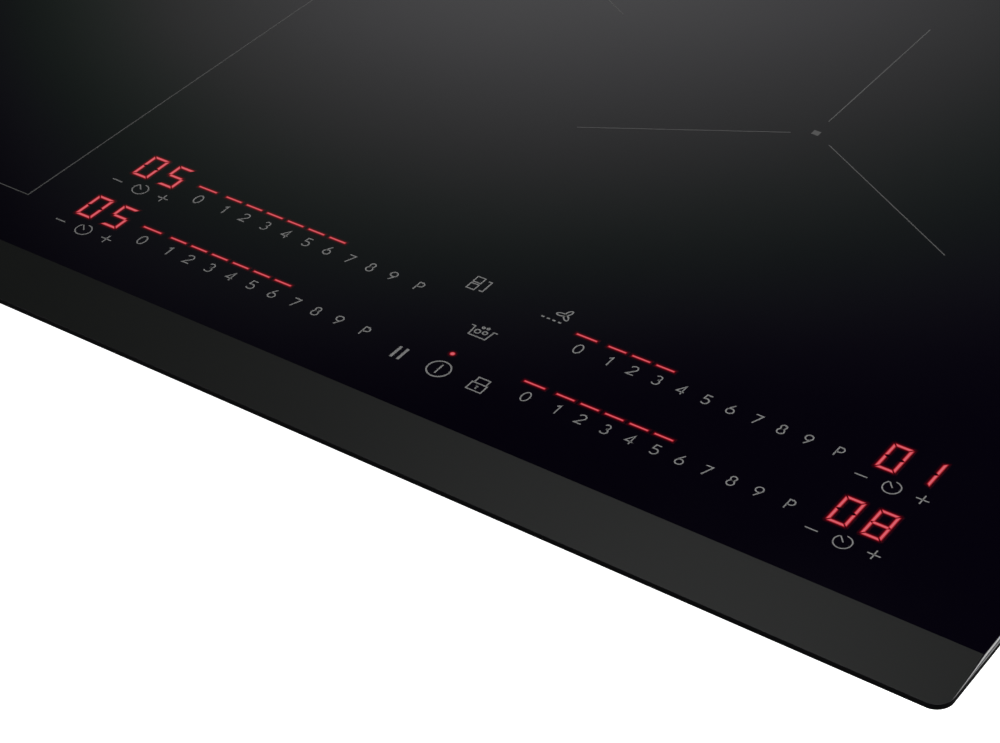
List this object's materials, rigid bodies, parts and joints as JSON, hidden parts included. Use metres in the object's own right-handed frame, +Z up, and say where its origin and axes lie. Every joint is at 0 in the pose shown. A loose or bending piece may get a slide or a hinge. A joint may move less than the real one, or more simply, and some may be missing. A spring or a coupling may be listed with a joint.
{
  "type": "electric induction cooktop",
  "caption": "Built-in induction cooktop: black glass with a ground front bevel and lit slider controls over a stepped steel case with sprung coils, fans and hinged terminal cover.",
  "frame": {"origin": "under the middle of the glass, at the case's lowest face", "axes": "+X to the right along the width, +Y to the back, +Z up through the glass"},
  "size_m": [0.78, 0.52, 0.0441],
  "materials": {
    "black_glass": "polished",
    "grey_print": "satin",
    "foam_seal": "matte",
    "silicone": "satin",
    "fibre_mat": "matte",
    "coated_steel": "satin",
    "galvanised_steel": "satin",
    "zinc_screw": "satin",
    "copper_litz": "satin",
    "former_plastic": "matte",
    "ferrite": "satin",
    "aluminium_sheet": "satin",
    "sensor_ceramic": "matte",
    "spring_steel": "satin",
    "natural_nylon": "matte",
    "circuit_board": "satin",
    "extruded_aluminium": "satin",
    "black_epoxy": "matte",
    "capacitor_case": "satin",
    "choke_copper": "satin",
    "fan_plastic": "satin",
    "fan_rotor_plastic": "satin",
    "carrier_plastic": "matte",
    "display_module": "gloss",
    "red_diffuser": "satin",
    "tinned_spring": "satin",
    "ribbon": "satin",
    "terminal_plastic": "matte",
    "cream_plastic": "satin",
    "brass_screw": "satin",
    "inlet_rubber": "matte",
    "zinc_sheet": "satin",
    "leaf_steel": "polished"
  },
  "bodies": {
    "hob": {"glass_plate": "black_glass", "zone_marks": "grey_print", "glass_seal": "foam_seal", "silicone_bond": "silicone", "insulation_mat": "fibre_mat", "mounting_frame": "coated_steel", "base_plate": "galvanised_steel", "case_walls": "galvanised_steel", "case_screws": "zinc_screw", "coil_left_front_springs": "spring_steel", "coil_left_rear_springs": "spring_steel", "coil_centre_rear_springs": "spring_steel", "coil_right_springs": "spring_steel", "nylon_supports": "natural_nylon", "power_boards": "circuit_board", "heatsinks": "extruded_aluminium", "power_transistors": "black_epoxy", "resonant_capacitors": "capacitor_case", "chokes": "choke_copper", "fan_front_frame": "fan_plastic", "fan_rear_frame": "fan_plastic", "fan_stators": "choke_copper", "control_carrier": "carrier_plastic", "control_board": "circuit_board", "timer_displays": "display_module", "level_light_bars": "red_diffuser", "touch_springs": "tinned_spring", "ribbon_cable": "ribbon", "terminal_box": "terminal_plastic", "terminal_block": "cream_plastic", "terminal_screws": "brass_screw", "cable_inlet": "inlet_rubber", "clip_brackets": "zinc_sheet"},
    "coil_left_front": {"coil_left_front_winding": "copper_litz", "coil_left_front_former": "former_plastic", "coil_left_front_ferrites": "ferrite", "coil_left_front_shield": "aluminium_sheet", "coil_left_front_sensor": "sensor_ceramic"},
    "coil_left_rear": {"coil_left_rear_winding": "copper_litz", "coil_left_rear_former": "former_plastic", "coil_left_rear_ferrites": "ferrite", "coil_left_rear_shield": "aluminium_sheet", "coil_left_rear_sensor": "sensor_ceramic"},
    "coil_centre_rear": {"coil_centre_rear_winding": "copper_litz", "coil_centre_rear_former": "former_plastic", "coil_centre_rear_ferrites": "ferrite", "coil_centre_rear_shield": "aluminium_sheet", "coil_centre_rear_sensor": "sensor_ceramic"},
    "coil_right": {"coil_right_winding": "copper_litz", "coil_right_former": "former_plastic", "coil_right_ferrites": "ferrite", "coil_right_shield": "aluminium_sheet", "coil_right_sensor": "sensor_ceramic"},
    "fan_front": {"fan_front_rotor": "fan_rotor_plastic"},
    "fan_rear": {"fan_rear_rotor": "fan_rotor_plastic"},
    "terminal_cover": {"terminal_cover": "terminal_plastic"},
    "clip_left_front": {"clip_left_front": "leaf_steel"},
    "clip_left_rear": {"clip_left_rear": "leaf_steel"},
    "clip_right_front": {"clip_right_front": "leaf_steel"},
    "clip_right_rear": {"clip_right_rear": "leaf_steel"}
  },
  "joints": [
    {"name": "coil_left_front_float", "type": "slide", "parent": "hob", "child": "coil_left_front", "axis": [0, 0, 1], "range_m": [-0.0025, 0], "stiffness_N_per_m": 5000, "springref_m": 0.004, "deforming": ["coil_left_front_springs"]},
    {"name": "coil_left_rear_float", "type": "slide", "parent": "hob", "child": "coil_left_rear", "axis": [0, 0, 1], "range_m": [-0.0025, 0], "stiffness_N_per_m": 5000, "springref_m": 0.004, "deforming": ["coil_left_rear_springs"]},
    {"name": "coil_centre_rear_float", "type": "slide", "parent": "hob", "child": "coil_centre_rear", "axis": [0, 0, 1], "range_m": [-0.0025, 0], "stiffness_N_per_m": 3000, "springref_m": 0.004, "deforming": ["coil_centre_rear_springs"]},
    {"name": "coil_right_float", "type": "slide", "parent": "hob", "child": "coil_right", "axis": [0, 0, 1], "range_m": [-0.0025, 0], "stiffness_N_per_m": 6000, "springref_m": 0.0045, "deforming": ["coil_right_springs"]},
    {"name": "fan_front_spin", "type": "hinge", "parent": "hob", "child": "fan_front", "pos_m": [-0.06, -0.075, 0.009], "axis": [0, 0, 1], "continuous": true},
    {"name": "fan_rear_spin", "type": "hinge", "parent": "hob", "child": "fan_rear", "pos_m": [-0.06, 0.015, 0.009], "axis": [0, 0, 1], "continuous": true},
    {"name": "terminal_cover_hinge", "type": "hinge", "parent": "hob", "child": "terminal_cover", "pos_m": [0.303, 0.1552, 0.0026], "axis": [-1, 0, 0], "range_deg": [0, 90]},
    {"name": "clip_left_front_flex", "type": "hinge", "parent": "hob", "child": "clip_left_front", "pos_m": [-0.374, -0.12, 0.0242], "axis": [0, 1, 0], "range_deg": [0, 20], "stiffness_Nm_per_rad": 0.5},
    {"name": "clip_left_rear_flex", "type": "hinge", "parent": "hob", "child": "clip_left_rear", "pos_m": [-0.374, 0.12, 0.0242], "axis": [0, 1, 0], "range_deg": [0, 20], "stiffness_Nm_per_rad": 0.5},
    {"name": "clip_right_front_flex", "type": "hinge", "parent": "hob", "child": "clip_right_front", "pos_m": [0.374, -0.12, 0.0242], "axis": [0, -1, 0], "range_deg": [0, 20], "stiffness_Nm_per_rad": 0.5},
    {"name": "clip_right_rear_flex", "type": "hinge", "parent": "hob", "child": "clip_right_rear", "pos_m": [0.374, 0.12, 0.0242], "axis": [0, -1, 0], "range_deg": [0, 20], "stiffness_Nm_per_rad": 0.5}
  ]
}
